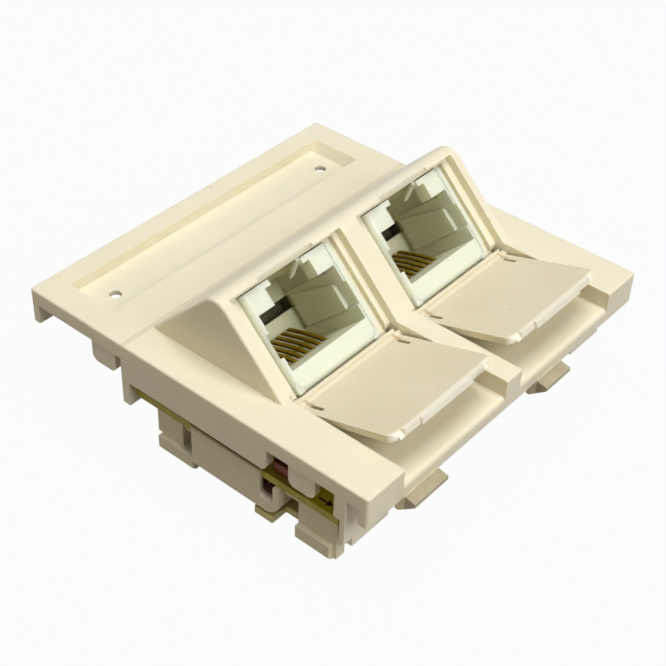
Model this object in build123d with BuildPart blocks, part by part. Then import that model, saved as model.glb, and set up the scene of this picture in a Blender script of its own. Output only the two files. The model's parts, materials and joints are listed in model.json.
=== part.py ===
# Angled data outlet faceplate: snap-in centre plate, two sloping ports, two dust flaps
import os
from math import cos, hypot, radians, sin, sqrt

from build123d import *

os.makedirs("parts", exist_ok=True)

# All lengths are millimetres. X runs along the label edge, Y towards the label, Z out of the face.
# Heights and depths below are measured from the outer face of the plate.
face_z = 15.5

# Plate
plate_size = 50.0
plate_half = plate_size / 2
flange_thick = 2.0
plate_corner_r = 0.35
plate_edge_r = 0.25

# Label recess with its two holes
label_half_x = plate_half - 3.5
label_end_slope = 0.9
label_back_y = plate_half - 2.9
label_width = 7.1
label_front_y = label_back_y - label_width
label_depth = 1.36
label_hole_in = 3.4
label_hole_up = 3.3
label_hole_r = 0.75

# Hood over the two ports, both slopes at 45 degrees
hood_half_x = 20.47
hood_front_y = -9.9
hood_back_y = 9.65
hood_wall = 1.5
hood_ridge_r = 2.2
hood_end_r = 0.35
hood_length = (hood_back_y - hood_front_y) / sqrt(2)

# Port openings in the front slope, lengths up the slope and depths behind it
port_x = 10.3
opening_in_x = 1.41
opening_out_x = 19.2
opening_top = 12.42
opening_foot = -1.5
step_depth = 1.06
ledge_in = 0.8
ledge_out = 1.1
inner_top = 12.15
notch_width = 8.8
notch_top = 12.75

# Pockets that take the open flaps
pocket_depth = 2.25
pocket_floor = 1.0
pocket_back_y = -8.9
pocket_wall_y = -8.5
pocket_wall_x = opening_out_x + 1.1
pocket_lip_r = 0.6
bay_front_y = -11.7

# Flaps, in their own frame: length away from the hinge axis and height over it
hinge_up = -1.3
hinge_deep = 0.75
flap_tilt = radians(17.6)
flap_width = 17.0
knuckle_reach = 0.88
knuckle_face = 0.3
knuckle_back = 0.75
pin_r = 0.5
pin_clear = 0.05
pin_reach = 1.1
pin_web = 0.5
pin_hole = 0.95
flap_inner = 0.19
flap_outer = -0.62
flap_tab_end = 13.73
flap_ear_end = 13.4
flap_block_end = 12.85
flap_tab_width = 8.7
flap_block_width = 1.7
flap_slot_width = 0.5
flap_slot_side = 0.9
flap_slot_from = 0.9
flap_slot_to = 2.9
flap_corner_r = 0.9
flap_corner_end = 13.1

# Walls behind the plate
wall = 1.15
back_wall_depth = 4.6
front_wall_depth = 4.1
skirt_depth = 5.0
post_depth = 8.4
inner_post_depth = 9.7
tab_inset = 0.2
tab_thick = 0.9
skirt_y = (13.5 - plate_half, plate_half - 14.8)
rear_tab_y = (plate_half - 13.7, plate_half - 9.9)
front_tab_y = (7.0 - plate_half, 10.6 - plate_half)
leg_y = (skirt_y[1] - 1.1, skirt_y[1])
leg_in_x = plate_half - 2.4
post_y = (2.8 - plate_half, 4.3 - plate_half)
post_low_y = (post_y[0], 3.45 - plate_half)
post_notch_depth = 5.1
post_in_x = plate_half - 2.6
inner_post_x = (plate_half - 7.4, plate_half - 1.4)
skirt_corner_r = 0.9

# Snap claws on the front and back walls
claw_spans_x = [(-18.9, -13.3), (5.0, 9.8)]
claw_reach = 1.4
claw_top_depth = 4.0
claw_tip_depth = 4.3
claw_tip_low = 4.8
claw_bottom_depth = 6.5
claw_bottom_in = 0.7
claw_root_depth = 3.0

# Port housings
jack_width = 13.7
jack_bottom = -0.35
jack_top = 12.0
jack_face = 1.0
jack_back = 13.5
jack_corner_r = 1.2
jack_lip_r = 0.8
port_width = 12.25
port_floor = 2.35
port_roof = 9.25
port_back = 12.0
groove_from = 4.1
groove_to = 7.1
groove_side = 0.4
latch_width = 7.1
latch_roof = 11.3
latch_mouth = 5.2
block_thick = 1.9
recess_from = 8.85
back_slot = (7.05, 8.45)

# Spring contacts, eight in each port
contact_pitch = 1.02
contact_width = 0.46
contact_thick = 0.3
contact_count = 8
contact_run = 1.3
contact_front = 5.0
contact_bends = [(1.6, 5.3), (2.75, 6.8), (3.45, 7.9), (4.1, 9.1), (4.7, 10.3), (5.2, 11.3)]
contact_end_r = 0.14
slot_clear = 0.1
slot_open_to = 7.6

# Circuit board
board_half_x = plate_half - 1.0
board_gap = 0.1
board_back_y = leg_y[0] - board_gap
board_front_y = post_y[1] + board_gap
board_depth = 6.5
board_thick = 1.0
capacitor_size = (1.9, 3.0, 1.6)
capacitor_at = (1.6 - board_half_x, -12.4)

# Rear carrier under the board
carrier_rim = 0.5
carrier_half_x = board_half_x + carrier_rim
carrier_wall_y = (-12.1, 0.0)
carrier_wall_top = 6.0
carrier_wall_bottom = 11.6
carrier_wall_in_x = carrier_half_x - 1.2
carrier_edge_gap = 0.03
carrier_base_half_x = carrier_wall_in_x
carrier_base_y = (board_front_y + 0.2, board_back_y - 3.0)
carrier_base_thick = 1.2
carrier_end_in_x = carrier_half_x - 3.2
carrier_end_thick = 0.9
carrier_corner_r = 1.5
carrier_upright_r = 0.45
window_y = (-11.45, -10.1)
window_bottom = 8.9
window_r = 0.5
hook_in_x = carrier_half_x - 2.0
hook_stem_x = carrier_half_x - 0.65
hook_stem_bottom = 10.9
hook_barb_bottom = 13.1
hook_chamfer = 0.5
hook_heel_bottom = 12.9
hook_stems_y = [(2.0, carrier_base_y[1] - 0.1), (carrier_base_y[0], -15.1)]
hook_barbs_y = [(0.0, 5.3), (carrier_base_y[0] + 0.5, -15.2)]

# Insulating plate round the terminal blocks
insulator_top = 12.0
insulator_thick = 1.0
insulator_half_x = hook_in_x - 0.3
insulator_y = (-19.0, 1.5)
insulator_tab_y = (-12.0, -9.3)

# Terminal blocks, four ways each
block_x = 10.25
block_length = 15.0
block_width = 5.0
block_rows_y = [-15.0, -3.0]
block_fit = 0.2
way_pitch = 3.7
way_count = 4
way_slot_width = 1.0
way_slot_depth = 4.6
blade_width = 2.6
blade_thick = 0.4
blade_gap = 0.1
blade_low = 14.2
blade_slit = 0.36
blade_slit_depth = 3.2
blade_shoulder = 9.0
tail_width = 0.7

corner = (Align.MIN, Align.MIN, Align.MIN)
edge_near = 0.01
slope_plane = Plane(origin=(0, hood_front_y, face_z), x_dir=(1, 0, 0), z_dir=(0, -1, 1))


def on_slope(up, deep):
    """Y and Z of a point given by its length up the front slope and its depth behind it."""
    return (hood_front_y + (up + deep) / sqrt(2), face_z + (up - deep) / sqrt(2))


def on_flap(out, over):
    """Y and Z of a point given in the frame of an open flap."""
    y = hinge_y - out * cos(flap_tilt) + over * sin(flap_tilt)
    z = hinge_z + out * sin(flap_tilt) + over * cos(flap_tilt)
    return (y, z)


hinge_y, hinge_z = on_slope(hinge_up, hinge_deep)


def ribbon(points, thick):
    """Outline of a strip of even thickness that follows a bent centre line."""
    sides = ([], [])
    for i, (px, py) in enumerate(points):
        before = points[max(i - 1, 0)]
        after = points[min(i + 1, len(points) - 1)]
        normals = []
        for (ax, ay), (bx, by) in ((before, (px, py)), ((px, py), after)):
            length = hypot(bx - ax, by - ay)
            if length > 0:
                normals.append(((ay - by) / length, (bx - ax) / length))
        nx = sum(n[0] for n in normals)
        ny = sum(n[1] for n in normals)
        scale = thick / 2 / ((nx * normals[0][0] + ny * normals[0][1]))
        sides[0].append((px + nx * scale, py + ny * scale))
        sides[1].append((px - nx * scale, py - ny * scale))
    return sides[0] + sides[1][::-1]


# Faceplate
with BuildPart() as faceplate:
    with BuildSketch(Plane.XY.offset(face_z - flange_thick)):
        Rectangle(plate_size, plate_size)
    extrude(amount=flange_thick)
    # front and back walls
    for y0, depth in ((-plate_half, front_wall_depth), (plate_half - wall, back_wall_depth)):
        with Locations((-plate_half, y0, face_z - depth)):
            Box(plate_size, wall, depth - flange_thick, align=corner)
    # skirts, legs and posts down both sides
    for side in (-1, 1):
        side_blocks = [
            (plate_half - wall, plate_half, skirt_y, skirt_depth),
            (plate_half - tab_inset - tab_thick, plate_half - tab_inset, rear_tab_y, skirt_depth),
            (plate_half - tab_inset - tab_thick, plate_half - tab_inset, front_tab_y, skirt_depth),
            (leg_in_x, plate_half, leg_y, post_depth),
            (post_in_x, plate_half, post_y, post_notch_depth),
            (post_in_x, plate_half, post_low_y, post_depth),
            (inner_post_x[0], inner_post_x[1], post_y, inner_post_depth),
        ]
        for x0, x1, (y0, y1), depth in side_blocks:
            with Locations(((side * (x0 + x1) / 2, (y0 + y1) / 2, face_z - (depth + flange_thick) / 2))):
                Box(x1 - x0, y1 - y0, depth - flange_thick)
    # rounded lower corners of the thin side walls
    low_corners = faceplate.edges().filter_by(Axis.X).filter_by(
        lambda e: abs(e.center().Z - (face_z - skirt_depth)) < edge_near
        and min(abs(e.center().Y - y) for y in (*rear_tab_y, *front_tab_y, skirt_y[0])) < edge_near
    )
    fillet(low_corners, radius=skirt_corner_r)
    # floor and cheeks of the flap pockets
    with Locations((-pocket_wall_x, -plate_half, face_z - pocket_depth - pocket_floor)):
        Box(2 * pocket_wall_x, pocket_wall_y + plate_half, pocket_depth, align=corner)
    # square corners of the plate rounded
    with BuildSketch(Plane.XY.offset(face_z - inner_post_depth)):
        RectangleRounded(plate_size, plate_size, plate_corner_r)
    extrude(amount=inner_post_depth, mode=Mode.INTERSECT)
    fillet(
        faceplate.edges().filter_by(lambda e: abs(e.center().Z - face_z) < edge_near),
        radius=plate_edge_r,
    )
    # hood
    with BuildSketch(Plane.YZ.offset(-hood_half_x)):
        Polygon(
            (hood_front_y, face_z - flange_thick / 2),
            (hood_front_y, face_z),
            on_slope(hood_length, 0),
            (hood_back_y, face_z),
            (hood_back_y, face_z - flange_thick / 2),
            align=None,
        )
    extrude(amount=2 * hood_half_x, dir=(1, 0, 0))
    fillet(faceplate.edges().filter_by(Axis.X).sort_by(Axis.Z)[-1], radius=hood_ridge_r)
    fillet(
        faceplate.faces().filter_by(Axis.X).edges().filter_by(lambda e: e.center().Z > face_z + 0.5),
        radius=hood_end_r,
    )
    # pockets, hinge bays, openings and the space for the housings
    for side in (-1, 1):
        pocket_mid = side * (opening_in_x + opening_out_x) / 2
        pocket_width = opening_out_x - opening_in_x
        with Locations((pocket_mid, (pocket_back_y - plate_half) / 2, face_z - pocket_depth / 2)):
            Box(pocket_width, plate_half + pocket_back_y, pocket_depth, mode=Mode.SUBTRACT)
        fillet(
            faceplate.edges().filter_by(Axis.X).filter_by(
                lambda e: e.center().Z > face_z - pocket_depth - edge_near
                and e.center().Y < edge_near - plate_half
                and abs(e.center().X - pocket_mid) < edge_near
            ),
            radius=pocket_lip_r,
        )
        with Locations((pocket_mid, (bay_front_y + pocket_wall_y) / 2, face_z - post_depth / 2)):
            Box(pocket_width, pocket_wall_y - bay_front_y, post_depth - pocket_depth, mode=Mode.SUBTRACT)
        inner_in_x = opening_in_x + ledge_in
        inner_out_x = opening_out_x - ledge_out
        inner_width = inner_out_x - inner_in_x
        inner_mid = side * (inner_in_x + inner_out_x) / 2
        with BuildSketch(Plane.YZ.offset(inner_mid - inner_width / 2)):
            Polygon(
                on_slope(-flange_thick, hood_wall),
                on_slope(hood_length - hood_wall, hood_wall),
                on_slope(hood_length - hood_wall, hood_length + 2 * flange_thick),
                (hood_front_y, face_z - 2 * flange_thick),
                align=None,
            )
        extrude(amount=inner_width, dir=(1, 0, 0), mode=Mode.SUBTRACT)
        openings = [
            (pocket_mid, pocket_width, opening_foot, opening_top, step_depth),
            (side * port_x, notch_width, opening_foot, notch_top, step_depth),
            (inner_mid, inner_width, opening_foot, inner_top, 2 * hood_wall),
        ]
        for mid, width, low, high, depth in openings:
            with BuildSketch(slope_plane):
                with Locations((mid, (low + high) / 2)):
                    Rectangle(width, high - low)
            extrude(amount=-depth, mode=Mode.SUBTRACT)
        # hinge pin holes
        for x0, x1 in ((pin_web, opening_in_x), (opening_out_x, opening_out_x + pin_hole)):
            with BuildSketch(Plane.YZ.offset(min(side * x0, side * x1))):
                with Locations((hinge_y, hinge_z)):
                    Circle(pin_r + pin_clear)
            extrude(amount=x1 - x0, dir=(1, 0, 0), mode=Mode.SUBTRACT)
    # label recess and its holes
    with BuildSketch(Plane.XZ.offset(-label_back_y)):
        Polygon(
            (-label_half_x, face_z),
            (label_end_slope - label_half_x, face_z - label_depth),
            (label_half_x - label_end_slope, face_z - label_depth),
            (label_half_x, face_z),
            align=None,
        )
    extrude(amount=label_back_y - label_front_y, dir=(0, -1, 0), mode=Mode.SUBTRACT)
    with BuildSketch(Plane.XY.offset(face_z - flange_thick)):
        hole_x = label_half_x - label_hole_in
        hole_y = label_front_y + label_hole_up
        with Locations((-hole_x, hole_y), (hole_x, hole_y)):
            Circle(label_hole_r)
    extrude(amount=flange_thick, mode=Mode.SUBTRACT)
    # snap claws
    for end in (-1, 1):
        for x0, x1 in claw_spans_x:
            with BuildSketch(Plane.YZ.offset(x0)):
                Polygon(
                    (end * (plate_half - wall), face_z - claw_root_depth),
                    (end * plate_half, face_z - claw_root_depth),
                    (end * plate_half, face_z - claw_top_depth),
                    (end * (plate_half + claw_reach), face_z - claw_tip_depth),
                    (end * (plate_half + claw_reach), face_z - claw_tip_low),
                    (end * (plate_half - claw_bottom_in), face_z - claw_bottom_depth),
                    (end * (plate_half - wall), face_z - claw_bottom_depth),
                    align=None,
                )
            extrude(amount=x1 - x0, dir=(1, 0, 0))
faceplate.part.label = "faceplate"
export_step(faceplate.part, "parts/faceplate.step")

# Dust flaps, shown open
for name, side in (("left", -1), ("right", 1)):
    mid_x = side * port_x
    half = flap_width / 2
    tab_half = flap_tab_width / 2
    block_in = half - flap_block_width
    with BuildPart() as flap:
        with BuildSketch(Plane.YZ.offset(mid_x - half)):
            Polygon(
                on_slope(hinge_up - knuckle_face, hinge_deep),
                on_slope(hinge_up + knuckle_reach, hinge_deep),
                on_slope(hinge_up + knuckle_reach, hinge_deep + knuckle_face),
                on_slope(hinge_up + knuckle_face, hinge_deep + knuckle_back),
                on_slope(hinge_up - knuckle_face, hinge_deep + knuckle_back),
                align=None,
            )
        extrude(amount=flap_width, dir=(1, 0, 0))
        with BuildSketch(Plane.YZ.offset(mid_x - half - pin_reach)):
            with Locations((hinge_y, hinge_z)):
                Circle(pin_r)
        extrude(amount=flap_width + 2 * pin_reach, dir=(1, 0, 0))
        leaves = [
            (-half, -block_in, flap_block_end, flap_ear_end),
            (-block_in, -tab_half, flap_ear_end, flap_ear_end),
            (-tab_half, tab_half, flap_tab_end, flap_tab_end),
            (tab_half, block_in, flap_ear_end, flap_ear_end),
            (block_in, half, flap_block_end, flap_ear_end),
        ]
        for x0, x1, end_inner, end_outer in leaves:
            with BuildSketch(Plane.YZ.offset(mid_x + x0)):
                Polygon(
                    on_flap(0, flap_inner),
                    on_flap(end_inner, flap_inner),
                    on_flap(end_outer, flap_outer),
                    on_flap(0, flap_outer),
                    align=None,
                )
            extrude(amount=x1 - x0, dir=(1, 0, 0))
        # rounded outer corners
        flap_axis = (mid_x, *on_flap(0, 0))
        flap_plane = Plane(origin=flap_axis, x_dir=(1, 0, 0), z_dir=(0, sin(flap_tilt), cos(flap_tilt)))
        with BuildSketch(flap_plane):
            with Locations((-half, -flap_corner_end), (half, -flap_corner_end)):
                Rectangle(2 * flap_corner_r, 2 * flap_corner_r)
            round_x = half - flap_corner_r
            with Locations((0, flap_corner_r - flap_corner_end)):
                Rectangle(2 * round_x, 2 * flap_corner_r, mode=Mode.SUBTRACT)
            round_y = flap_corner_r - flap_corner_end
            with Locations((-round_x, round_y), (round_x, round_y)):
                Circle(flap_corner_r, mode=Mode.SUBTRACT)
        extrude(amount=knuckle_reach, both=True, mode=Mode.SUBTRACT)
        # slots that let the hinge ends spring in
        with BuildSketch(flap_plane):
            slot_x = half - flap_slot_side - flap_slot_width / 2
            slot_y = -(flap_slot_from + flap_slot_to) / 2
            with Locations((-slot_x, slot_y), (slot_x, slot_y)):
                SlotOverall(flap_slot_to - flap_slot_from, flap_slot_width, rotation=90)
        extrude(amount=knuckle_reach, both=True, mode=Mode.SUBTRACT)
    flap.part.label = f"{name}_flap"
    export_step(flap.part, f"parts/{name}_flap.step")

# Port housings
for name, side in (("left", -1), ("right", 1)):
    mid_x = side * port_x
    foot = jack_bottom + board_depth * sqrt(2)
    with BuildPart() as housing:
        with BuildSketch(Plane.YZ.offset(mid_x - jack_width / 2)):
            Polygon(
                on_slope(jack_bottom, jack_face),
                on_slope(jack_top, jack_face),
                on_slope(jack_top, jack_back),
                (on_slope(jack_top, jack_back)[0], face_z - board_depth),
                on_slope(jack_bottom, foot),
                align=None,
            )
        extrude(amount=jack_width, dir=(1, 0, 0))
        lower_edges = housing.edges().filter_by(
            lambda e: abs(abs(e.center().X - mid_x) - jack_width / 2) < edge_near
            and abs(e.center().Y + e.center().Z - sum(on_slope(jack_bottom, (jack_face + foot) / 2))) < edge_near
        )
        fillet(lower_edges, radius=jack_corner_r)
        fillet(
            housing.edges().filter_by(Axis.X).sort_by(Axis.Y)[0],
            radius=jack_lip_r,
        )
        cavities = [
            (port_width, port_floor, port_roof),
            (port_width + 2 * groove_side, groove_from, groove_to),
            (latch_width, port_floor, latch_roof),
            (latch_mouth, latch_roof - latch_mouth, jack_top + jack_face),
        ]
        cavities = [(jack_face, port_back, *cavity) for cavity in cavities]
        cavities.append((jack_face + block_thick, port_back, port_width + 2 * groove_side, recess_from, latch_roof))
        cavities.append((port_back, jack_back, port_width, *back_slot))
        for near, far, width, low, high in cavities:
            with BuildSketch(slope_plane.offset(-near)):
                with Locations((mid_x, (low + high) / 2)):
                    Rectangle(width, high - low)
            extrude(amount=near - far, mode=Mode.SUBTRACT)
        for i in range(contact_count):
            x = mid_x + (i - (contact_count - 1) / 2) * contact_pitch
            slot_width = contact_width + 2 * slot_clear
            with BuildSketch(Plane.YZ.offset(x - slot_width / 2)):
                Polygon(
                    on_slope(contact_run - contact_thick, contact_front - contact_thick),
                    on_slope(port_floor + contact_thick, contact_front - contact_thick),
                    on_slope(port_floor + contact_thick, slot_open_to),
                    on_slope(contact_run + contact_thick, slot_open_to),
                    on_slope(contact_run + contact_thick, port_back),
                    on_slope(contact_run - contact_thick, port_back),
                    align=None,
                )
            extrude(amount=slot_width, dir=(1, 0, 0), mode=Mode.SUBTRACT)
    housing.part.label = f"{name}_jack_housing"
    export_step(housing.part, f"parts/{name}_jack_housing.step")

# Spring contacts
for name, side in (("left", -1), ("right", 1)):
    tail = contact_run + board_depth * sqrt(2)
    line = [
        (contact_run, tail),
        (contact_run, contact_front),
        *contact_bends,
    ]
    outline = [on_slope(up, deep) for up, deep in ribbon(line, contact_thick)]
    board_z = face_z - board_depth
    outline = [(y, max(z, board_z)) for y, z in outline]
    for i in range(contact_count):
        x = side * port_x + (i - (contact_count - 1) / 2) * contact_pitch
        with BuildPart() as contact:
            with BuildSketch(Plane.YZ.offset(x - contact_width / 2)):
                Polygon(*outline, align=None)
            extrude(amount=contact_width, dir=(1, 0, 0))
            fillet(contact.edges().filter_by(Axis.X).group_by(Axis.Y)[-1], radius=contact_end_r)
        contact.part.label = f"{name}_contact_{i + 1}"
        export_step(contact.part, f"parts/{name}_contact_{i + 1}.step")

# Circuit board
with BuildPart() as circuit_board:
    with Locations((-board_half_x, board_front_y, face_z - board_depth - board_thick)):
        Box(2 * board_half_x, board_back_y - board_front_y, board_thick, align=corner)
circuit_board.part.label = "circuit_board"
export_step(circuit_board.part, "parts/circuit_board.step")

with BuildPart() as board_capacitor:
    with Locations((*capacitor_at, face_z - board_depth + capacitor_size[2] / 2)):
        Box(*capacitor_size)
board_capacitor.part.label = "board_capacitor"
export_step(board_capacitor.part, "parts/board_capacitor.step")

# Rear carrier
with BuildPart() as rear_carrier:
    base_z = face_z - board_depth - board_thick
    with Locations((-carrier_base_half_x, carrier_base_y[0], base_z - carrier_base_thick)):
        Box(
            2 * carrier_base_half_x,
            carrier_base_y[1] - carrier_base_y[0],
            carrier_base_thick,
            align=corner,
        )
    for side in (-1, 1):
        wall_y0, wall_y1 = carrier_wall_y
        end_y1 = wall_y0 + carrier_end_thick
        edge_in = board_half_x + carrier_edge_gap
        blocks = [
            (edge_in, carrier_half_x, wall_y0, wall_y1, carrier_wall_bottom, carrier_wall_top),
            (carrier_wall_in_x, carrier_half_x, wall_y0, wall_y1, carrier_wall_bottom, face_z - base_z),
            (carrier_end_in_x, carrier_half_x, wall_y0, end_y1, carrier_wall_bottom, face_z - base_z),
        ]
        for (stem0, stem1), (barb0, barb1) in zip(hook_stems_y, hook_barbs_y):
            blocks.append((hook_in_x, hook_stem_x, stem0, stem1, hook_stem_bottom, face_z - base_z))
            blocks.append((hook_in_x, carrier_half_x, barb0, barb1, hook_barb_bottom, hook_stem_bottom))
        heel_y = (hook_stems_y[1][0], hook_barbs_y[1][0])
        blocks.append((hook_in_x, hook_stem_x, *heel_y, hook_heel_bottom, hook_stem_bottom))
        for x0, x1, y0, y1, low, high in blocks:
            with Locations((side * (x0 + x1) / 2, (y0 + y1) / 2, face_z - (low + high) / 2)):
                Box(x1 - x0, y1 - y0, low - high)
        fillet(
            rear_carrier.edges().filter_by(Axis.X).filter_by(
                lambda e: abs(e.center().Y - wall_y0) < edge_near
                and abs(e.center().Z - (face_z - carrier_wall_bottom)) < edge_near
                and side * e.center().X > 0
            ),
            radius=carrier_corner_r,
        )
        chamfer(
            rear_carrier.edges().filter_by(Axis.Y).filter_by(
                lambda e: abs(side * e.center().X - carrier_half_x) < edge_near
                and abs(e.center().Z - (face_z - hook_barb_bottom)) < edge_near
            ),
            length=hook_chamfer,
        )
        window_top = 2 * carrier_wall_top - window_bottom
        with BuildSketch(Plane.YZ.offset(side * carrier_half_x - wall)):
            with Locations((sum(window_y) / 2, face_z - (window_top + window_bottom) / 2)):
                RectangleRounded(window_y[1] - window_y[0], window_bottom - window_top, window_r)
        extrude(amount=2 * wall, dir=(1, 0, 0), mode=Mode.SUBTRACT)
    for x in (-block_x, block_x):
        for y in block_rows_y:
            with Locations((x, y, base_z)):
                Box(
                    block_length + 2 * block_fit,
                    block_width + 2 * block_fit,
                    4 * carrier_base_thick,
                    mode=Mode.SUBTRACT,
                )
rear_carrier.part.label = "rear_carrier"
export_step(rear_carrier.part, "parts/rear_carrier.step")

# Insulating plate
with BuildPart() as insulating_plate:
    plate_z = face_z - insulator_top - insulator_thick
    with Locations((-insulator_half_x, insulator_y[0], plate_z)):
        Box(2 * insulator_half_x, insulator_y[1] - insulator_y[0], insulator_thick, align=corner)
    with Locations((-carrier_half_x, insulator_tab_y[0], plate_z)):
        Box(2 * carrier_half_x, insulator_tab_y[1] - insulator_tab_y[0], insulator_thick, align=corner)
    for x in (-block_x, block_x):
        for y in block_rows_y:
            with Locations((x, y, plate_z)):
                Box(block_length, block_width, 4 * insulator_thick, mode=Mode.SUBTRACT)
insulating_plate.part.label = "insulating_plate"
export_step(insulating_plate.part, "parts/insulating_plate.step")

# Terminal blocks and their blades
rows = [("front", block_rows_y[0]), ("back", block_rows_y[1])]
for name, side in (("left", -1), ("right", 1)):
    for row, y in rows:
        top_z = face_z - board_depth - board_thick
        ways_x = [side * block_x + (i - (way_count - 1) / 2) * way_pitch for i in range(way_count)]
        with BuildPart() as terminal_block:
            with Locations((side * block_x, y, top_z / 2)):
                Box(block_length, block_width, top_z)
            for x in ways_x:
                with Locations((x, y, way_slot_depth / 2)):
                    Box(way_slot_width, 2 * block_width, way_slot_depth, mode=Mode.SUBTRACT)
                with Locations((x, y, top_z / 2)):
                    Box(blade_width + 2 * blade_gap, blade_thick + 2 * blade_gap, top_z, mode=Mode.SUBTRACT)
        terminal_block.part.label = f"{name}_{row}_terminal_block"
        export_step(terminal_block.part, f"parts/{name}_{row}_terminal_block.step")

        with BuildPart() as terminal_blades:
            low_z = face_z - blade_low
            shoulder_z = face_z - blade_shoulder
            for x in ways_x:
                with Locations((x, y, (low_z + shoulder_z) / 2)):
                    Box(blade_width, blade_thick, shoulder_z - low_z)
                with Locations((x, y, (shoulder_z + top_z) / 2)):
                    Box(tail_width, blade_thick, top_z - shoulder_z)
                with Locations((x, y, low_z + blade_slit_depth / 2)):
                    Box(blade_slit, 2 * blade_thick, blade_slit_depth, mode=Mode.SUBTRACT)
        terminal_blades.part.label = f"{name}_{row}_terminal_blades"
        export_step(terminal_blades.part, f"parts/{name}_{row}_terminal_blades.step")
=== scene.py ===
import json
from math import cos, radians, sin, sqrt

import bpy
import bmesh
from mathutils import Matrix, Vector


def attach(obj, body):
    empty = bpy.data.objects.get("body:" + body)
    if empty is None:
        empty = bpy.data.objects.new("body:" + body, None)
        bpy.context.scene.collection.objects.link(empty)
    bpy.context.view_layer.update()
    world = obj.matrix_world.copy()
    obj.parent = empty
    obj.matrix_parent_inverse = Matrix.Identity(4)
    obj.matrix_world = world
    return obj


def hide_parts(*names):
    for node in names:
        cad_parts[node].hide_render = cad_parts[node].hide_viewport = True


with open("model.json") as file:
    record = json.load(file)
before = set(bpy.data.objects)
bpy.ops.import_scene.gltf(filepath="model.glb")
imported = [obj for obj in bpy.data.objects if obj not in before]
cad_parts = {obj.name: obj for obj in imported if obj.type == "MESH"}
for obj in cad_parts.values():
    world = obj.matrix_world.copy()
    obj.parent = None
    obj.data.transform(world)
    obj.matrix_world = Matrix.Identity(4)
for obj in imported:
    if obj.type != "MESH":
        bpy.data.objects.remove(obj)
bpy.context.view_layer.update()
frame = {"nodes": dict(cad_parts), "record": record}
nodes = frame["nodes"]

# Sizes and places are in mm of the part's own frame, and MM turns them into metres.
MM = 0.001
ACROSS, BACK, UP = (1.0, 0.0, 0.0), (0.0, 1.0, 0.0), (0.0, 0.0, 1.0)
DIAGONAL = 1 / sqrt(2)
UP_SLOPE, UNDER_SLOPE = (0.0, DIAGONAL, DIAGONAL), (0.0, DIAGONAL, -DIAGONAL)

# Plate: its face, its half depth, and the marks on it
FACE = 15.5
PLATE_EDGE_Y = 25.0
HOOD_LINES = [(9.65, 0.5), (9.98, 0.55)]  # y, strength
PLATE_SPECKS = [((3.9, 24.3, FACE), 0.08), ((-4.08, 15.22, FACE), 0.06)]  # centre, radius

# Open flaps: hinge (y, z), lean in degrees, skin over the hinge's plane, and marks, painted
# highlights and painted shade by (x, out)
HINGE = (-10.2889, 14.0504)
FLAP_LEAN = 17.6
FLAP_SKIN = 0.19
FLAP_EDGE_HIGHLIGHT = (12.75, 13.1)
FLAP_RINGS = [(-16.66, 4.3, 0.8), (-9.9, 10.4, 0.9), (3.58, 4.75, 0.85), (10.8, 10.7, 0.9)]
FLAP_SLOT_SHADE_TAILS = [(3.33, 0.55), (18.07, 0.55), (-17.46, 0.6), (-2.6, 0.6)]
FLAP_SPECK = (7.5, 9.09)
FLAP_END_HIGHLIGHTS = [(2.2, 13.2), (-18.4, 13.2)]

# Ports: the slope's foot (y, z), each port's middle, and the slot through its rear wall, which
# is painted as shade
SLOPE_FOOT = (-9.9, FACE)
PORTS_X = {"left": -10.3, "right": 10.3}
REAR_SLOT_UP = 7.75
REAR_SLOT_DEPTH = (11.0, 11.8)

# Port pieces, as corners given by (x, up the slope, depth under it), with their edge radius
LATCH_RIB_ENDS = ((2.45, 10.6, 4.0), (2.45, 12.0, 1.2))
LATCH_RIB_SECTION = (0.4, 0.7)
LATCH_RIB_RADIUS = 0.12
RIGHT_RIM = ((6.5, 1.2, 0.98), (7.15, 11.75, 3.0), 0.06)
LEFT_CORNER_WEB = ((-6.82, -0.34, 1.12), (-5.7, 1.2, 2.4), 0.25)
RIGHT_CORNER_WEB = ((5.7, -0.34, 1.12), (6.82, 1.2, 2.4), 0.25)
REAR_POST = ((6.2, 4.2, 10.5), (6.6, 7.4, 10.9), 0.12)
GUIDE_STEP = ((5.93, 4.15, 2.92), (6.6, 8.5, 10.8), 0.05)
GUIDE_STEP_FALL = 1.2
LEFT_WEB = ((-8.25, -0.36, 1.75), (-6.88, 12.35, 2.6), 0.08)
RIGHT_WEB = ((7.05, -0.36, 1.75), (8.25, 12.35, 2.6), 0.08)
HINGE_BACKING = ((-8.25, -2.4, 1.75), (8.25, -0.4, 2.3), 0.08)
NOTCH_SILL = ((-4.36, 12.52, 0.4), (4.36, 12.73, 1.0), 0.05)
BROWN_DROP = ((6.25, 4.15, 9.6), (6.55, 4.7, 10.35), 0.12)

# Rear carrier: corners of its longer ends and of what is cut from them, on the +X side
CARRIER_END = ((21.9, -12.75, 3.9), (24.5, -10.4, 8.0))
HEEL_RADIUS = 1.9
WINDOW = ((23.2, -12.0, 5.2), (24.9, -10.1, 8.3))
WINDOW_RADIUS = 0.5
WINDOW_SILL_RISE = 1.4
WINDOW_HOLLOW = ((20.5, -12.0, 6.6), (23.3, -10.1, 8.3))
END_TOP_CUT = ((23.9, -13.4, 8.0), (24.9, -10.1, 9.8))

# Marks on the board: the arrow's shaft, its head, and the component's lead
ARROW_SHAFT = ((-23.1, -18.2, 8.99), (-22.88, -17.1, 9.03), 0.01)
ARROW_HEAD_PLACE = (-22.96, -18.5, 9.01)
ARROW_HEAD_RADIUS, ARROW_HEAD_THICKNESS = 0.5, 0.04
CAPACITOR_LEAD = ((-23.15, -12.65, 8.98), (-22.65, -11.8, 9.5), 0.16)

# Edge radii
FLAP_RADIUS = 0.24
CARRIER_RADIUS = 0.12
EDGE_RADII = {
    "cream_plastic": 0.14,
    "white_plastic": 0.12,
    "gold_contact": 0.08,
    "board_laminate": 0.04,
    "brown_component": 0.3,
    "amber_plastic": 0.15,
    "tin_contact": 0.04,
}

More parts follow.
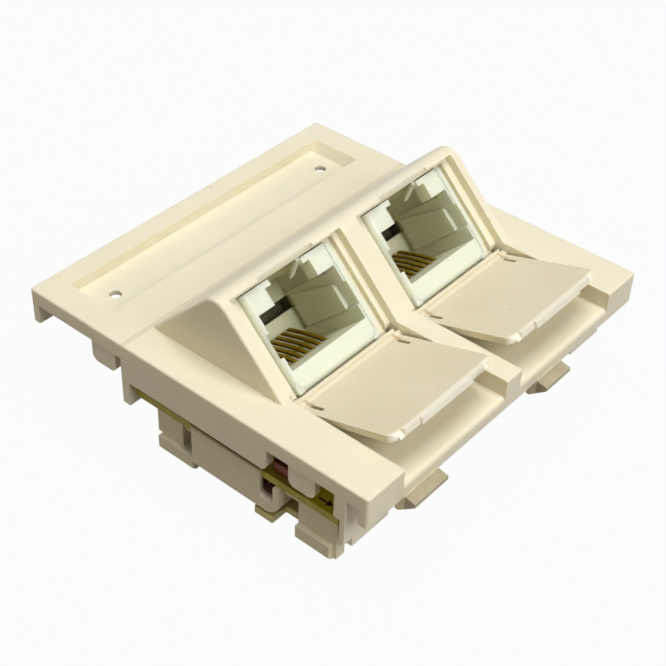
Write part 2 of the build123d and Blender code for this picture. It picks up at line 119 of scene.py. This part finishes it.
# Camera, solved from the plate's corners and edges in the photograph; its place is in metres
LENS = 76.115
CAMERA_PLACE = (-0.101518, -0.081529, 0.099442 + FACE * MM)
CAMERA_FORWARD = (0.60010, 0.48453, -0.63648)
CAMERA_UP = (0.47020, 0.43004, 0.77070)


# Nodes that the materials share


def shader(name, colour, roughness, specular=0.5):
    """A plain finish, to which a material adds its patterns."""
    mat = bpy.data.materials.new(name)
    mat.use_nodes = True
    tree = mat.node_tree
    bsdf = tree.nodes["Principled BSDF"]
    bsdf.inputs["Base Color"].default_value = (*colour, 1.0)
    bsdf.inputs["Roughness"].default_value = roughness
    bsdf.inputs["Specular IOR Level"].default_value = specular
    return mat, tree, bsdf


def object_point(tree):
    return tree.nodes.new("ShaderNodeTexCoord").outputs["Object"]


def noise(tree, scale):
    node = tree.nodes.new("ShaderNodeTexNoise")
    node.inputs["Scale"].default_value = scale
    node.inputs["Detail"].default_value = 3.0
    tree.links.new(object_point(tree), node.inputs["Vector"])
    return node.outputs["Fac"]


def ramp(tree, value, stops):
    node = tree.nodes.new("ShaderNodeValToRGB")
    for element, (place, colour) in zip(node.color_ramp.elements, stops):
        element.position = place
        element.color = (*colour, 1.0)
    tree.links.new(value, node.inputs["Fac"])
    return node.outputs["Color"]


def mottled(tree, scale, dull, bright, start=0.35):
    """A slow change between two tones of one colour."""
    return ramp(tree, noise(tree, scale), [(start, dull), (0.7, bright)])


def grain(tree, bsdf, scale, distance, strength):
    """Fine unevenness of a moulded or rolled surface; distance is in mm."""
    bump = tree.nodes.new("ShaderNodeBump")
    bump.inputs["Distance"].default_value = distance * MM
    bump.inputs["Strength"].default_value = strength
    tree.links.new(noise(tree, scale), bump.inputs["Height"])
    tree.links.new(bump.outputs["Normal"], bsdf.inputs["Normal"])


def translucent(bsdf, weight, depth):
    """Light that spreads a little inside a pale plastic; depth is in mm."""
    bsdf.inputs["Subsurface Weight"].default_value = weight
    bsdf.inputs["Subsurface Scale"].default_value = depth * MM
    bsdf.inputs["Subsurface Radius"].default_value = (1.0, 0.85, 0.6)


def maths(tree, operation, first, second=0.0):
    """A maths node; each side is a socket or a number."""
    node = tree.nodes.new("ShaderNodeMath")
    node.operation = operation
    for side, value in ((0, first), (1, second)):
        if isinstance(value, (int, float)):
            node.inputs[side].default_value = value
        else:
            tree.links.new(value, node.inputs[side])
    return node.outputs["Value"]


def vector_maths(tree, operation, vector, constant=(0.0, 0.0, 0.0)):
    node = tree.nodes.new("ShaderNodeVectorMath")
    node.operation = operation
    node.inputs[1].default_value = constant
    tree.links.new(vector, node.inputs[0])
    return node


def share(tree, value, none_at, full_at):
    """0 where a length is none_at (mm), 1 where it is full_at, and even between."""
    return spread(tree, value, none_at * MM, full_at * MM)


def spread(tree, value, none_at, full_at):
    """0 where value is none_at, 1 where it is full_at, and even between."""
    node = tree.nodes.new("ShaderNodeMapRange")
    node.inputs["From Min"].default_value = none_at
    node.inputs["From Max"].default_value = full_at
    tree.links.new(value, node.inputs["Value"])
    return node.outputs["Result"]


def along(tree, direction, origin=(0.0, 0.0, 0.0)):
    """Distance in metres from origin (mm) along a direction of the part's frame."""
    reach = vector_maths(tree, "DOT_PRODUCT", object_point(tree), direction)
    start = sum(a * b for a, b in zip(direction, origin)) * MM
    return maths(tree, "SUBTRACT", reach.outputs["Value"], start)


def band(tree, value, centre, half, soft):
    """1 within half of centre (mm), fading over soft."""
    away = maths(tree, "ABSOLUTE", maths(tree, "SUBTRACT", value, centre * MM))
    return share(tree, away, half + soft, half)


def facing(tree, axis):
    """How far a surface faces along X, Y or Z, from -1 to 1."""
    coords = tree.nodes.new("ShaderNodeTexCoord")
    parts = tree.nodes.new("ShaderNodeSeparateXYZ")
    tree.links.new(coords.outputs["Normal"], parts.inputs["Vector"])
    return parts.outputs[axis]


def looks_up(tree):
    return spread(tree, facing(tree, "Z"), 0.4, 0.7)


def from_spot(tree, centre, stretch=(1.0, 1.0, 1.0)):
    """Distance in metres from a point (mm), longer along an axis that stretch makes longer."""
    away = vector_maths(tree, "SUBTRACT", object_point(tree), [c * MM for c in centre])
    scaled = vector_maths(tree, "MULTIPLY", away.outputs["Vector"], stretch)
    return vector_maths(tree, "LENGTH", scaled.outputs["Vector"]).outputs["Value"]


def spot(tree, centre, radius, soft, stretch=(1.0, 1.0, 1.0)):
    """1 within radius of a point (mm), fading over soft."""
    return share(tree, from_spot(tree, centre, stretch), radius + soft, radius)


def tinted(tree, base, colour, mask, strength=1.0):
    """Lays a colour over base where the mask is 1."""
    mix = tree.nodes.new("ShaderNodeMix")
    mix.data_type = "RGBA"
    tree.links.new(maths(tree, "MULTIPLY", mask, strength), mix.inputs["Factor"])
    tree.links.new(base, mix.inputs["A"])
    mix.inputs["B"].default_value = (*colour, 1.0)
    return mix.outputs["Result"]


def flap_point(x, out, over=FLAP_SKIN):
    """A point on the open flaps' upper surface, in mm."""
    lean = radians(FLAP_LEAN)
    y = HINGE[0] - out * cos(lean) + over * sin(lean)
    return (x, y, HINGE[1] + out * sin(lean) + over * cos(lean))


# Materials


def moulded_cream():
    """The faceplate's cream."""
    mat, tree, bsdf = shader("moulded_cream", (0.80, 0.745, 0.56), 0.4, 0.35)
    tint = mottled(tree, 90, (0.785, 0.73, 0.545), (0.815, 0.76, 0.575), 0.3)
    # two fine lines where the hood meets the plate
    on_face = share(tree, along(tree, UP), FACE - 0.15, FACE - 0.1)
    depth = along(tree, BACK)
    for place, strength in HOOD_LINES:
        line = maths(tree, "MULTIPLY", band(tree, depth, place, 0.02, 0.09), on_face)
        tint = tinted(tree, tint, (0.42, 0.30, 0.16), line, strength)
    # the catches on the front and back edges are painted darker, as shade from the wall above
    # them
    beyond = share(tree, maths(tree, "ABSOLUTE", depth), PLATE_EDGE_Y, PLATE_EDGE_Y + 0.12)
    patch = maths(tree, "ADD", 0.75, maths(tree, "MULTIPLY", noise(tree, 900), 0.35))
    painted_catch_shade = maths(tree, "MULTIPLY", beyond, patch)
    tint = tinted(tree, tint, (0.33, 0.28, 0.175), painted_catch_shade, 0.95)
    for centre, radius in PLATE_SPECKS:
        speck = spot(tree, centre, radius, 0.07)
        tint = tinted(tree, tint, (0.30, 0.22, 0.12), speck, 0.7)
    tree.links.new(tint, bsdf.inputs["Base Color"])
    translucent(bsdf, 0.3, 1.3)
    grain(tree, bsdf, 2600, 0.02, 0.25)
    return mat


def carrier_cream():
    """The carrier's cream, painted dark brown inside its windows as their shade."""
    mat, tree, bsdf = shader("carrier_cream", (0.78, 0.725, 0.55), 0.5, 0.15)
    tint = mottled(tree, 90, (0.765, 0.71, 0.53), (0.795, 0.74, 0.56), 0.3)
    sideways = maths(tree, "ABSOLUTE", along(tree, ACROSS))
    # painted shade: faces behind the walls, level with the windows, are tinted near black
    behind_wall = share(tree, sideways, 24.3, 23.8)
    in_window = band(tree, along(tree, BACK), -11.05, 1.02, 0.05)
    window = maths(tree, "MULTIPLY", behind_wall, in_window)
    tint = tinted(tree, tint, (0.05, 0.018, 0.005), window)
    # brown line along the walls' top, and painted shade on the upward faces of the outer lower
    # ledges
    height = along(tree, UP)
    outer = share(tree, sideways, 23.7, 23.8)
    seam = maths(tree, "MULTIPLY", share(tree, height, 9.1, 9.25), outer)
    tint = tinted(tree, tint, (0.42, 0.29, 0.14), seam, 0.85)
    low_ledge = maths(tree, "MULTIPLY", looks_up(tree), share(tree, height, 4.6, 4.2))
    painted_ledge_shade = maths(tree, "MULTIPLY", low_ledge, outer)
    tint = tinted(tree, tint, (0.16, 0.11, 0.045), painted_ledge_shade, 0.85)
    tree.links.new(tint, bsdf.inputs["Base Color"])
    grain(tree, bsdf, 2600, 0.02, 0.25)
    return mat


def flap_cream():
    """The dust flaps' duller cream, with the moulding's marks, painted highlights and painted
    shade.
    """
    mat, tree, bsdf = shader("flap_cream", (0.73, 0.655, 0.475), 0.45, 0.35)
    tint = mottled(tree, 120, (0.71, 0.635, 0.455), (0.745, 0.67, 0.49), 0.3)
    # the ejector pins' rings, painted pale as highlights on their edges
    for x, out, radius in FLAP_RINGS:
        ring = band(tree, from_spot(tree, flap_point(x, out)), radius, 0.03, 0.07)
        tint = tinted(tree, tint, (0.93, 0.90, 0.78), ring, 0.14)
    # painted shade: brown tails that carry the slots' grooves on along the flaps
    for x, out in FLAP_SLOT_SHADE_TAILS:
        painted_slot_shade = spot(tree, flap_point(x, out), 0.55, 0.4, (3.0, 1.0, 1.0))
        tint = tinted(tree, tint, (0.45, 0.33, 0.18), painted_slot_shade, 0.75)
    speck = spot(tree, flap_point(*FLAP_SPECK), 0.06, 0.06)
    tint = tinted(tree, tint, (0.14, 0.09, 0.05), speck, 0.8)
    # painted highlights on the outer corners of the free ends
    for x, out in FLAP_END_HIGHLIGHTS:
        end = spot(tree, flap_point(x, out, -0.3), 0.6, 0.5)
        tint = tinted(tree, tint, (0.97, 0.94, 0.80), end, 0.5)
    # the free edge is painted paler, as a highlight
    lean = radians(FLAP_LEAN)
    outward = along(tree, (0.0, -cos(lean), sin(lean)), flap_point(0, 0, 0))
    tint = tinted(tree, tint, (0.93, 0.89, 0.73), share(tree, outward, *FLAP_EDGE_HIGHLIGHT), 0.8)
    tree.links.new(tint, bsdf.inputs["Base Color"])
    translucent(bsdf, 0.3, 1.3)
    grain(tree, bsdf, 2600, 0.02, 0.25)
    return mat


def moulded_white():
    """The jack housings' greenish white."""
    mat, tree, bsdf = shader("moulded_white", (0.77, 0.80, 0.645), 0.38, 0.35)
    tint = mottled(tree, 150, (0.755, 0.785, 0.63), (0.785, 0.815, 0.66), 0.3)
    # painted shade: the port is darkened with depth inside, and its rear slot is painted near
    # black
    deep = along(tree, UNDER_SLOPE, (0, *SLOPE_FOOT))
    up = along(tree, UP_SLOPE, (0, *SLOPE_FOOT))
    tint = tinted(tree, tint, (0.66, 0.61, 0.36), share(tree, deep, 0.6, 4.0), 0.45)
    at_rear = share(tree, deep, *REAR_SLOT_DEPTH)
    slot = maths(tree, "MULTIPLY", band(tree, up, REAR_SLOT_UP, 0.75, 0.1), at_rear)
    tint = tinted(tree, tint, (0.10, 0.09, 0.045), slot)
    tree.links.new(tint, bsdf.inputs["Base Color"])
    translucent(bsdf, 0.5, 2.0)
    grain(tree, bsdf, 2400, 0.02, 0.2)
    return mat


def gold_wire():
    """Gold plating on the spring contacts, with painted shade on the wires' sides."""
    mat, tree, bsdf = shader("gold_wire", (0.50, 0.30, 0.02), 0.3)
    # painted shade: faces that turn sideways are darker
    side = maths(tree, "ABSOLUTE", facing(tree, "X"))
    tint = ramp(tree, side, [(0.25, (0.60, 0.40, 0.02)), (0.75, (0.16, 0.09, 0.004))])
    tree.links.new(tint, bsdf.inputs["Base Color"])
    bsdf.inputs["Metallic"].default_value = 1.0
    grain(tree, bsdf, 5000, 0.01, 0.3)
    return mat


def tinned_metal():
    """Tin plating on the terminal blades."""
    mat, tree, bsdf = shader("tinned_metal", (0.62, 0.61, 0.58), 0.35)
    bsdf.inputs["Metallic"].default_value = 1.0
    grain(tree, bsdf, 3000, 0.01, 0.3)
    return mat


def olive_board():
    """The circuit board's lacquer."""
    mat, tree, bsdf = shader("olive_board", (0.42, 0.37, 0.06), 0.5, 0.2)
    tint = mottled(tree, 500, (0.36, 0.32, 0.045), (0.48, 0.43, 0.07))
    # it is yellower on top by the front corners, and painted brighter there as light falling on
    # it
    front = share(tree, along(tree, BACK), -15.0, -17.0)
    front_top = maths(tree, "MULTIPLY", front, looks_up(tree))
    tint = tinted(tree, tint, (0.78, 0.72, 0.02), front_top, 0.9)
    tree.links.new(tint, bsdf.inputs["Base Color"])
    grain(tree, bsdf, 3500, 0.01, 0.3)
    return mat


def brown_dip():
    """The board component's brown coat."""
    mat, tree, bsdf = shader("brown_dip", (0.17, 0.035, 0.006), 0.4, 0.25)
    tint = mottled(tree, 700, (0.13, 0.025, 0.004), (0.21, 0.05, 0.01))
    tree.links.new(tint, bsdf.inputs["Base Color"])
    grain(tree, bsdf, 1500, 0.02, 0.3)
    return mat


def amber_sheet():
    """The insulating plate's thin amber sheet."""
    mat, tree, bsdf = shader("amber_sheet", (0.62, 0.54, 0.20), 0.35, 0.25)
    tint = mottled(tree, 300, (0.58, 0.50, 0.17), (0.66, 0.58, 0.23))
    tree.links.new(tint, bsdf.inputs["Base Color"])
    bsdf.inputs["Transmission Weight"].default_value = 0.1
    grain(tree, bsdf, 1200, 0.02, 0.2)
    return mat


def print_ink():
    """Dark ink of the board's arrow."""
    mat, tree, bsdf = shader("board_ink", (0.05, 0.004, 0.012), 0.5, 0.2)
    tint = mottled(tree, 2500, (0.04, 0.003, 0.01), (0.07, 0.008, 0.018))
    tree.links.new(tint, bsdf.inputs["Base Color"])
    return mat


finishes = {
    "cream_plastic": moulded_cream(),
    "white_plastic": moulded_white(),
    "gold_contact": gold_wire(),
    "tin_contact": tinned_metal(),
    "board_laminate": olive_board(),
    "brown_component": brown_dip(),
    "amber_plastic": amber_sheet(),
}
flap_finish = flap_cream()


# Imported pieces: finishes and rounded edges


def soften(obj, radius):
    """Merges a solid's facets and rounds its edges a little, as moulding does."""
    weld = obj.modifiers.new("weld", "WELD")
    weld.merge_threshold = 0.002 * MM
    bevel = obj.modifiers.new("bevel", "BEVEL")
    bevel.width = radius * MM
    bevel.segments = 3
    bevel.limit_method = "ANGLE"
    bevel.angle_limit = radians(28)


slots = {s["node"]: s["material_slot"] for s in frame["record"]["subparts"]}
for name, obj in nodes.items():
    is_flap = name.endswith("_flap")
    obj.data.materials.clear()
    obj.data.materials.append(flap_finish if is_flap else finishes[slots[name]])
    soften(obj, FLAP_RADIUS if is_flap else EDGE_RADII[slots[name]])


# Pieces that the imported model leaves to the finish


def rounded(bm, edges, radius, segments=4):
    bmesh.ops.bevel(
        bm,
        geom=edges,
        offset=radius,
        affect="EDGES",
        segments=segments,
        profile=0.5,
        material=-1,
    )


def block(low, high, radius=0):
    """A moulded block between two corners in mm."""
    bm = bmesh.new()
    bmesh.ops.create_cube(bm, size=1.0)
    low, high = Vector(low), Vector(high)
    bmesh.ops.scale(bm, vec=high - low, verts=bm.verts)
    bmesh.ops.translate(bm, vec=(low + high) / 2, verts=bm.verts)
    if radius:
        rounded(bm, bm.edges[:], radius)
    return bm


def as_object(name, bm, place=Matrix.Identity(4)):
    """Turns a bmesh in mm, put where place says, into an object in metres."""
    bmesh.ops.transform(bm, matrix=Matrix.Scale(MM, 4) @ place, verts=bm.verts)
    bmesh.ops.recalc_face_normals(bm, faces=bm.faces)
    mesh = bpy.data.meshes.new(name)
    bm.to_mesh(mesh)
    bm.free()
    obj = bpy.data.objects.new(name, mesh)
    bpy.context.scene.collection.objects.link(obj)
    return obj


def fitted(obj, slot, finish=None):
    """Gives a new piece its finish, and fixes it to the body that the flaps turn on."""
    obj.data.materials.clear()
    obj.data.materials.append(finish or finishes[slot])
    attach(obj, "module")


def cut_and_joined(obj, tools):
    """Adds or takes away blocks for good, and clears the flat faces' leftovers."""
    for operation, tool in tools:
        modifier = obj.modifiers.new("fit", "BOOLEAN")
        modifier.operation = operation
        modifier.solver = "EXACT"
        modifier.object = tool
    bpy.context.view_layer.update()
    evaluated = obj.evaluated_get(bpy.context.evaluated_depsgraph_get())
    shaped = bpy.data.meshes.new_from_object(evaluated)
    obj.modifiers.clear()
    obj.data = shaped
    for _, tool in tools:
        bpy.data.objects.remove(tool)
    bm = bmesh.new()
    bm.from_mesh(shaped)
    bmesh.ops.remove_doubles(bm, verts=bm.verts, dist=0.004 * MM)
    bmesh.ops.dissolve_limit(bm, angle_limit=radians(0.8), verts=bm.verts, edges=bm.edges)
    bm.to_mesh(shaped)
    bm.free()


def carrier_end():
    """A longer end of the carrier, with its large rounded heel."""
    bm = block(*CARRIER_END)
    front, bottom = CARRIER_END[0][1:]
    heel = [
        e
        for e in bm.edges
        if all(v.co.y < front + 0.05 and v.co.z < bottom + 0.1 for v in e.verts)
    ]
    rounded(bm, heel, HEEL_RADIUS, 8)
    return bm


def carrier_window():
    """The cut for a window, whose sill rises inwards."""
    bm = block(*WINDOW)
    inner_x, _, sill_z = WINDOW[0]
    sill = [v for v in bm.verts if v.co.x < inner_x + 0.8 and v.co.z < sill_z + 0.8]
    bmesh.ops.translate(bm, vec=(0, 0, WINDOW_SILL_RISE), verts=sill)
    corners = [
        e
        for e in bm.edges
        if abs(e.verts[0].co.x - e.verts[1].co.x) > 1 and min(v.co.z for v in e.verts) < 7
    ]
    rounded(bm, corners, WINDOW_RADIUS)
    return bm


def carrier_with_windows():
    """The rear carrier with its longer rounded ends and their sloping windows."""
    bm = bmesh.new()
    bm.from_mesh(nodes["rear_carrier"].data)
    bmesh.ops.remove_doubles(bm, verts=bm.verts, dist=0.002 * MM)
    bmesh.ops.scale(bm, vec=(1 / MM, 1 / MM, 1 / MM), verts=bm.verts)
    carrier = as_object("carrier_with_windows", bm)
    tools = []
    for side in (-1, 1):
        turn = Matrix.Scale(side, 4, ACROSS)
        tools += [
            ("UNION", as_object("end", carrier_end(), turn)),
            ("DIFFERENCE", as_object("window", carrier_window(), turn)),
            ("DIFFERENCE", as_object("hollow", block(*WINDOW_HOLLOW), turn)),
            ("DIFFERENCE", as_object("top", block(*END_TOP_CUT), turn)),
        ]
    cut_and_joined(carrier, tools)
    fitted(carrier, "cream_plastic", carrier_cream())
    soften(carrier, CARRIER_RADIUS)
    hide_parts("rear_carrier")


def slope_frame(x):
    """Local x, up the slope and out of it, from the slope's foot at x."""
    turn = Matrix(((1, 0, 0), (0, DIAGONAL, -DIAGONAL), (0, DIAGONAL, DIAGONAL)))
    return Matrix.Translation((x, *SLOPE_FOOT)) @ turn.to_4x4()


def latch_rib(side, x):
    """Slanted rib in the notch over the contacts, which holds a plug's tongue."""
    start, end = (Vector((p[0], p[1], -p[2])) for p in LATCH_RIB_ENDS)
    run = end - start
    half = Vector((*LATCH_RIB_SECTION, run.length)) / 2
    bm = block(-half, half, LATCH_RIB_RADIUS)
    turn = run.to_track_quat("Z", "Y").to_matrix().to_4x4()
    turn = turn @ Matrix.Rotation(radians(90), 4, "Z")
    place = slope_frame(x) @ Matrix.Translation((start + end) / 2) @ turn
    bmesh.ops.transform(bm, matrix=place, verts=bm.verts)
    fitted(as_object(side + "_latch_rib", bm), "white_plastic")


def slope_block(low, high, radius, x):
    """A block between corners (x, up the slope, depth under it), beside a port at x."""
    bm = block((low[0], low[1], -high[2]), (high[0], high[1], -low[2]), radius)
    bmesh.ops.transform(bm, matrix=slope_frame(x), verts=bm.verts)
    return bm


def guide_step(x):
    """Raised lower part of a port's right wall, whose top edge climbs towards the back."""
    (low_x, low_up, front), (high_x, top, back), radius = GUIDE_STEP
    bm = block((low_x, low_up, -back), (high_x, top, -front))
    front_top = [v for v in bm.verts if v.co.y > top - 0.5 and v.co.z > -front - 0.1]
    bmesh.ops.translate(bm, vec=(0, -GUIDE_STEP_FALL, 0), verts=front_top)
    rounded(bm, bm.edges[:], radius, 2)
    bmesh.ops.transform(bm, matrix=slope_frame(x), verts=bm.verts)
    return bm


def joined(parts):
    """One bmesh from several."""
    whole = bmesh.new()
    for part in parts:
        mesh = bpy.data.meshes.new("part")
        part.to_mesh(mesh)
        part.free()
        whole.from_mesh(mesh)
        bpy.data.meshes.remove(mesh)
    return whole


def port_trim(side, x):
    """Rim, corner webs and guides of one jack housing."""
    blocks = (RIGHT_RIM, LEFT_CORNER_WEB, RIGHT_CORNER_WEB, REAR_POST)
    trim = joined([slope_block(*b, x) for b in blocks] + [guide_step(x)])
    fitted(as_object(side + "_port_trim", trim), "white_plastic")


def port_surround(side, x):
    """Cream webs beside the housing and behind the hinge, and the sill in the notch over it."""
    blocks = (LEFT_WEB, RIGHT_WEB, HINGE_BACKING, NOTCH_SILL)
    surround = joined([slope_block(*b, x) for b in blocks])
    fitted(as_object(side + "_port_surround", surround), "cream_plastic")


def brown_drop():
    """Brown drop on the right port's inner wall."""
    bm = slope_block(*BROWN_DROP, PORTS_X["right"])
    fitted(as_object("brown_drop", bm), "amber_plastic")


def arrow_mark():
    """Printed arrow at the board's corner: a shaft and a three-sided head."""
    bm = block(*ARROW_SHAFT)
    head = bmesh.ops.create_cone(
        bm,
        cap_ends=True,
        segments=3,
        radius1=ARROW_HEAD_RADIUS,
        radius2=ARROW_HEAD_RADIUS,
        depth=ARROW_HEAD_THICKNESS,
    )["verts"]
    bmesh.ops.rotate(bm, verts=head, matrix=Matrix.Rotation(radians(180), 3, "Z"))
    bmesh.ops.translate(bm, verts=head, vec=ARROW_HEAD_PLACE)
    fitted(as_object("board_arrow", bm), "board_laminate", print_ink())


def capacitor_lead():
    """Bright end of the component's tape beside the hood wall."""
    fitted(as_object("capacitor_lead", block(*CAPACITOR_LEAD)), "amber_plastic")


carrier_with_windows()
for side, x in PORTS_X.items():
    latch_rib(side, x)
    port_trim(side, x)
    port_surround(side, x)
brown_drop()
arrow_mark()
capacitor_lead()


# Floor, background, light and camera; these are in metres


def seen_rays(tree):
    """1 for rays that show the background: from the camera, mirrored or through glass."""
    path = tree.nodes.new("ShaderNodeLightPath")
    total = path.outputs["Is Camera Ray"]
    for kind in ("Is Glossy Ray", "Is Transmission Ray"):
        total = maths(tree, "ADD", total, path.outputs[kind])
        total.node.use_clamp = True
    return total


def studio_floor():
    """A floor that the camera sees nearly white, with the part's shadow on it."""
    bm = bmesh.new()
    bmesh.ops.create_grid(bm, x_segments=2, y_segments=2, size=3.0)
    bmesh.ops.translate(bm, verts=bm.verts, vec=(0, 0, -0.00002))
    mesh = bpy.data.meshes.new("floor")
    bm.to_mesh(mesh)
    bm.free()
    obj = bpy.data.objects.new("floor", mesh)
    bpy.context.scene.collection.objects.link(obj)
    mat, tree, bsdf = shader("floor_white", (0.21, 0.18, 0.14), 0.9)
    glow = tree.nodes.new("ShaderNodeEmission")
    glow.inputs["Color"].default_value = (1, 1, 1, 1)
    mix = tree.nodes.new("ShaderNodeMixShader")
    tree.links.new(maths(tree, "MULTIPLY", seen_rays(tree), 0.97), mix.inputs["Fac"])
    tree.links.new(bsdf.outputs["BSDF"], mix.inputs[1])
    tree.links.new(glow.outputs["Emission"], mix.inputs[2])
    tree.links.new(mix.outputs["Shader"], tree.nodes["Material Output"].inputs["Surface"])
    mesh.materials.append(mat)


def studio_world(level):
    """A world that looks white and lights the part at level."""
    world = bpy.data.worlds.new("studio")
    bpy.context.scene.world = world
    world.use_nodes = True
    tree = world.node_tree
    back = tree.nodes["Background"]
    back.inputs["Color"].default_value = (1, 1, 1, 1)
    strength = tree.nodes.new("ShaderNodeMapRange")
    strength.inputs["To Min"].default_value = level
    strength.inputs["To Max"].default_value = 1.0
    tree.links.new(seen_rays(tree), strength.inputs["Value"])
    tree.links.new(strength.outputs["Result"], back.inputs["Strength"])


def softbox(name, place, size, power, colour=(1.0, 1.0, 1.0)):
    """A square soft light that points at the part."""
    light = bpy.data.lights.new(name, "AREA")
    light.shape = "SQUARE"
    light.size = size
    light.energy = power
    light.color = colour
    obj = bpy.data.objects.new(name, light)
    bpy.context.scene.collection.objects.link(obj)
    obj.location = place
    obj.rotation_mode = "QUATERNION"
    aim = Vector((0, 0, 0.01)) - Vector(place)
    obj.rotation_quaternion = aim.to_track_quat("-Z", "Y")


def photo_camera():
    """The camera at the photograph's angle."""
    cam = bpy.data.cameras.new("camera")
    cam.lens = LENS
    cam.sensor_width = 36.0
    cam.clip_start = 0.01
    cam.clip_end = 10.0
    obj = bpy.data.objects.new("camera", cam)
    bpy.context.scene.collection.objects.link(obj)
    forward = Vector(CAMERA_FORWARD).normalized()
    right = forward.cross(Vector(CAMERA_UP)).normalized()
    up = right.cross(forward).normalized()
    turn = Matrix((right, up, -forward)).transposed().to_4x4()
    obj.matrix_world = Matrix.Translation(CAMERA_PLACE) @ turn
    bpy.context.scene.camera = obj


studio_floor()
studio_world(0.02)
softbox("top_light", (0, 0, 0.6), 0.35, 2.5)
softbox("front_light", (0, -0.45, 0.42), 0.35, 2.15)
softbox("low_front", (0.05, -0.5, 0.03), 0.3, 0.16)
softbox("left_fill", (-0.5, -0.05, 0.1), 0.3, 0.35, (1.0, 0.9, 0.7))
photo_camera()
bpy.context.scene.view_settings.view_transform = "Standard"
